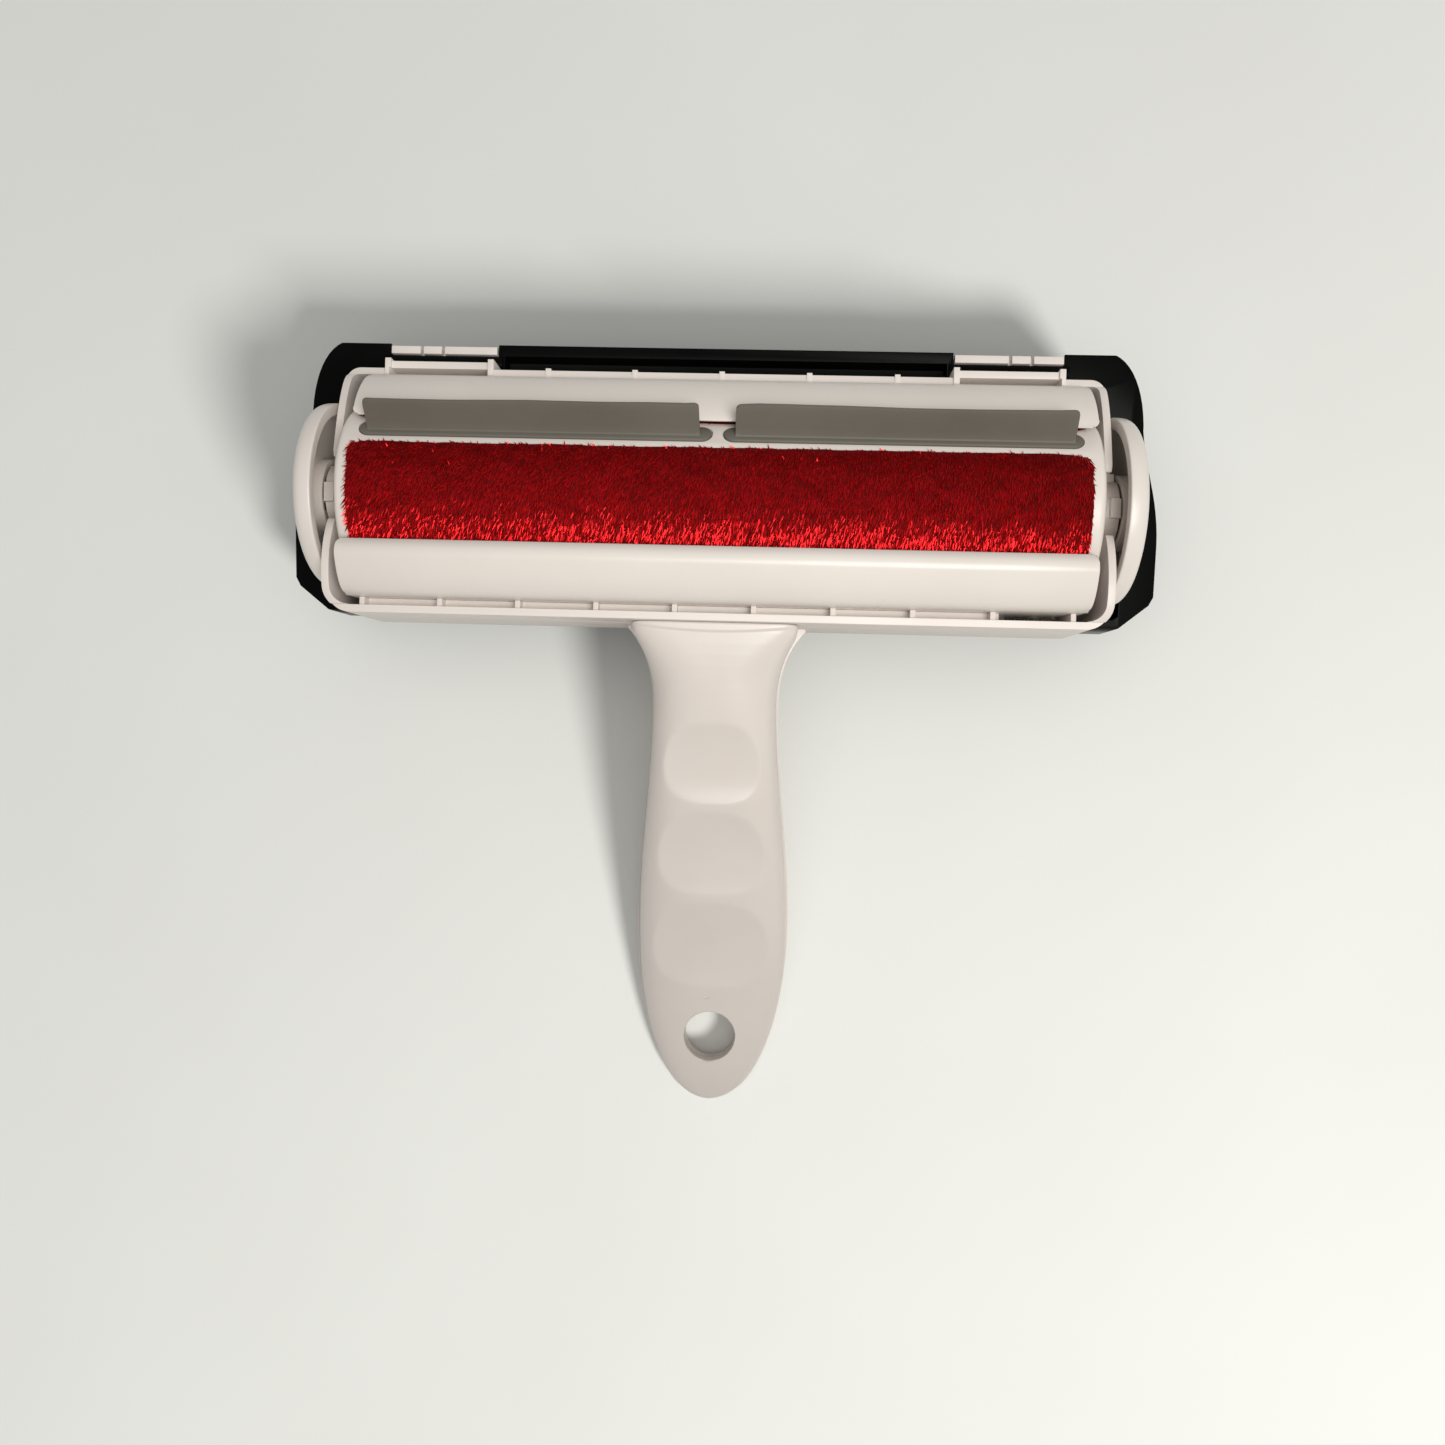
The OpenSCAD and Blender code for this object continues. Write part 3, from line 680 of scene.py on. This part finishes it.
def scooped(v, y):
    """Lowers the top to the finger scoops, shallow troughs across the handle with eased edges."""
    for middle, half, deep in SCOOPS:
        slope = (along_y(TOP, middle + half) - along_y(TOP, middle - half)) / (2 * half)
        floor = along_y(TOP, middle) + slope * (y - middle) - deep + deep * ((y - middle) / half) ** 2
        ease = 0.24
        v = np.where(abs(y - middle) < half * 1.25,
                     0.5 * (v + floor - np.sqrt((v - floor) ** 2 + ease ** 2)), v)
    return v


def handle_stations():
    """Where the handle's cross-sections stand along Y: closer at the neck, the scoops and the tip."""
    plain = np.concatenate([
        np.linspace(NECK_Y, -31, 40, endpoint=False), np.linspace(-31, -46, 60, endpoint=False),
        np.linspace(-46, -116, 330, endpoint=False), np.linspace(-116, -140, 50, endpoint=False)])
    tail = TIP_Y + 4.5 * (1 - np.sin(np.linspace(0, math.pi / 2, 22)))
    return np.concatenate([plain, tail[:-1], [TIP_Y + 0.02]])


def arch(power, count):
    """Half of a superellipse, its points evenly spaced: across from 1 to -1, and up from 0 to 1."""
    a = np.linspace(0, math.pi, 4001)
    x = np.sign(np.cos(a)) * np.abs(np.cos(a)) ** (2 / power)
    v = np.abs(np.sin(a)) ** (2 / power)
    length = np.concatenate([[0], np.cumsum(np.hypot(np.diff(x), np.diff(v)))])
    at = np.linspace(0, length[-1], count)
    return np.interp(at, length, x), np.interp(at, length, v)


def handle_half_shell(name, upper, node):
    """One moulded half of the handle. Each cross-section is a rounded arch over the parting line."""
    sections = []
    for y in handle_stations():
        near = float(np.clip((y - NECK_Y + 14) / 14, 0, 1))
        widest = 18.6 if upper else 20.6
        w = handle_half(y)
        w = 0.5 * (w + widest - math.sqrt((w - widest) ** 2 + 0.8)) + (0.1 if upper else 0.5)
        shrink = 0.6 - math.sqrt(max(0.36 - max(0.6 + y - NECK_Y, 0) ** 2, 0))
        w -= shrink
        w = max(w - (0.0 if upper or y > TIP_Y + 4 else 0.1 * (TIP_Y + 4 - y)), 0.3)
        top, low = along_y(TOP, y), along_y(BOTTOM, y)
        part = 0.42 * top + 0.58 * low
        rise = (top - part if upper else part - low) - shrink
        tail = np.clip((y - TIP_Y) / 9.0, 0, 1)
        rise *= 0.35 + 0.65 * math.sqrt(1 - (1 - tail) ** 2)
        x, v = arch((2.9 if upper else 2.5) + 7.0 * near ** 2, 151 if upper else 61)
        x, v = w * x, rise * v
        if upper:
            # a slightly raised rim at the end against the head
            rim = 1.0 + 1.3 * (1 - (x / 18.5) ** 2)
            v = v + 0.3 * np.clip((y - NECK_Y + rim) / 0.5, 0, 1) * np.clip(v - 2, 0, 1)
            v = part + np.maximum(scooped(part + v, y) - part, 0)
        else:
            v = part - v
        sections.append(np.column_stack([x, np.full_like(x, y), v]))
    obj = build(name, *rings(sections), HANDLE_WHITE, "head", "handle_white", (node,), 0)
    hole = [[(HOLE_R * math.cos(a), HOLE_Y + HOLE_R * math.sin(a), level) for a in full_turn(96)]
            for level in (UNDER_HANDLE, 0)]
    cut(obj, cutting_tool(*rings(hole)))
    round_hole(obj)
    return obj


def round_hole(obj):
    """Eases the edge of the hanging hole, then sets the shading."""
    bm = bmesh.new()
    bm.from_mesh(obj.data)
    centre = AXIS + Vector((0, HOLE_Y * MM, 0))
    rim = []
    for edge in bm.edges:
        away = [math.hypot(v.co.x - centre.x, v.co.y - centre.y) for v in edge.verts]
        if max(abs(d - HOLE_R * MM) for d in away) < 0.02 * MM and edge.calc_face_angle(0) > 0.8:
            rim.append(edge)
    bmesh.ops.bevel(bm, geom=rim, offset=0.3 * MM, segments=4, profile=0.5, affect="EDGES")
    bm.to_mesh(obj.data)
    bm.free()
    shade(obj.data, HANDLE_SHARP)


front = handle_half_shell("handle_front_shell", True, "handle_front")
gate = along_y(TOP, GATE_Y)
mark = [[(-1.0 + 0.85 * math.cos(a), GATE_Y + 0.3 * math.sin(a), level) for a in full_turn(24)]
        for level in (gate - 0.35, gate + 2)]
cut(front, cutting_tool(*rings(mark)))
front.data.set_sharp_from_angle(angle=math.radians(HANDLE_SHARP))
back = handle_half_shell("handle_back_shell", False, "handle_back")
# the pocket that the release button moves in
pocket = []
for level in (UNDER_HANDLE, -13.4):
    outline = []
    for cx, cy, start in ((6.9, -37.1, 0), (-6.9, -37.1, 90), (-6.9, -46.8, 180), (6.9, -46.8, 270)):
        for a in np.radians(np.linspace(start, start + 90, 6)):
            outline.append((cx + 1.4 * math.cos(a), cy + 1.4 * math.sin(a), level))
    pocket.append(outline)
cut(back, cutting_tool(*rings(pocket)))
back.data.set_sharp_from_angle(angle=math.radians(HANDLE_SHARP))


def screws():
    """Two pan-head screws with a recess, driven from inside the head into the handle."""
    solids = []
    profile = [(0.001, -25.0), (0.7, -25.0), (0.75, -24.55), (2.2, -24.6), (2.7, -25.0),
               (2.75, -25.65), (1.45, -25.7), (1.45, -29.6), (0.001, -31.0)]
    for x in (-14.0, 14.0):
        sections = [[(x + r * math.cos(a), y, 3.6 + r * math.sin(a)) for r, y in profile]
                    for a in full_turn(40)]
        solids.append(rings(sections + [sections[0]], closed_ends=False))
    points, faces = join(*solids[0], *solids[1])
    build("handle_screws_steel", points, faces, STEEL, "head", "spring_steel", ("handle_screws",))


screws()


# ---------------------------------------------------------------- cleaning brushes
def brush(name, first, last, under, node, seed):
    """A strip of the same pile cloth under a lip, with its fibres towards the drum."""
    rng = np.random.default_rng(seed)
    step = 0.75
    a = np.arange(first, last, step / ARC)
    x = np.arange(-77.5, 77.5, step)
    xx, aa = (g.ravel() for g in np.meshgrid(x, a))
    xx = xx + rng.uniform(-0.4, 0.4, xx.size) * step
    ceiling = under_radius(under, aa) - 0.45
    n = xx.size
    height = VELVET_R + 0.45 - ceiling
    tufts(name + "_pile", xx, aa, ceiling, height, rng.uniform(-0.3, 0.3, n), rng.uniform(-0.3, 0.3, n),
          rng.uniform(0.3, 0.42, n), rng, "head")
    rows = []
    line = np.linspace(-78, 78, 60)
    for t in np.linspace(first, last, 14):
        r = under_radius(under, np.array([t]))[0]
        low = on_drum(line, np.full_like(line, t), np.full_like(line, r - 0.05))
        high = on_drum(line, np.full_like(line, t), np.full_like(line, r - 0.5))
        rows.append(np.concatenate([low, high[::-1]]))
    build(name + "_cloth", *rings(rows), CLOTH, "head", "brush_red", (node,), 60)


def under_radius(under, angle):
    """The radius of a lip's underside at each angle from the top."""
    a = np.degrees(np.arctan2(under[:, 0], under[:, 1]))
    r = np.hypot(under[:, 0], under[:, 1])
    order = np.argsort(a)
    return np.interp(angle, a[order], r[order])


brush("front_brush", 54, 75, front_under[:-1], "front_brush", 41)
brush("rear_brush", -59, -43, rear_under[:30], "rear_brush", 42)


# ---------------------------------------------------------------- mouldings taken from the CAD
SOFT = [("head_frame", WHITE, "frame_white", 0.25), ("lid", BLACK, "lid_black", 0.35),
        ("drum_shell", WHITE_GLOSS, "drum_white", 0.2), ("hub_left", WHITE, "drum_white", 0.2),
        ("hub_right", WHITE, "drum_white", 0.2), ("latch_rocker", WHITE, "frame_white", 0.2),
        ("release_button", HANDLE_WHITE, "handle_white", 0.3)]
for node, material, slot, width in SOFT:
    soften(node, material, width)
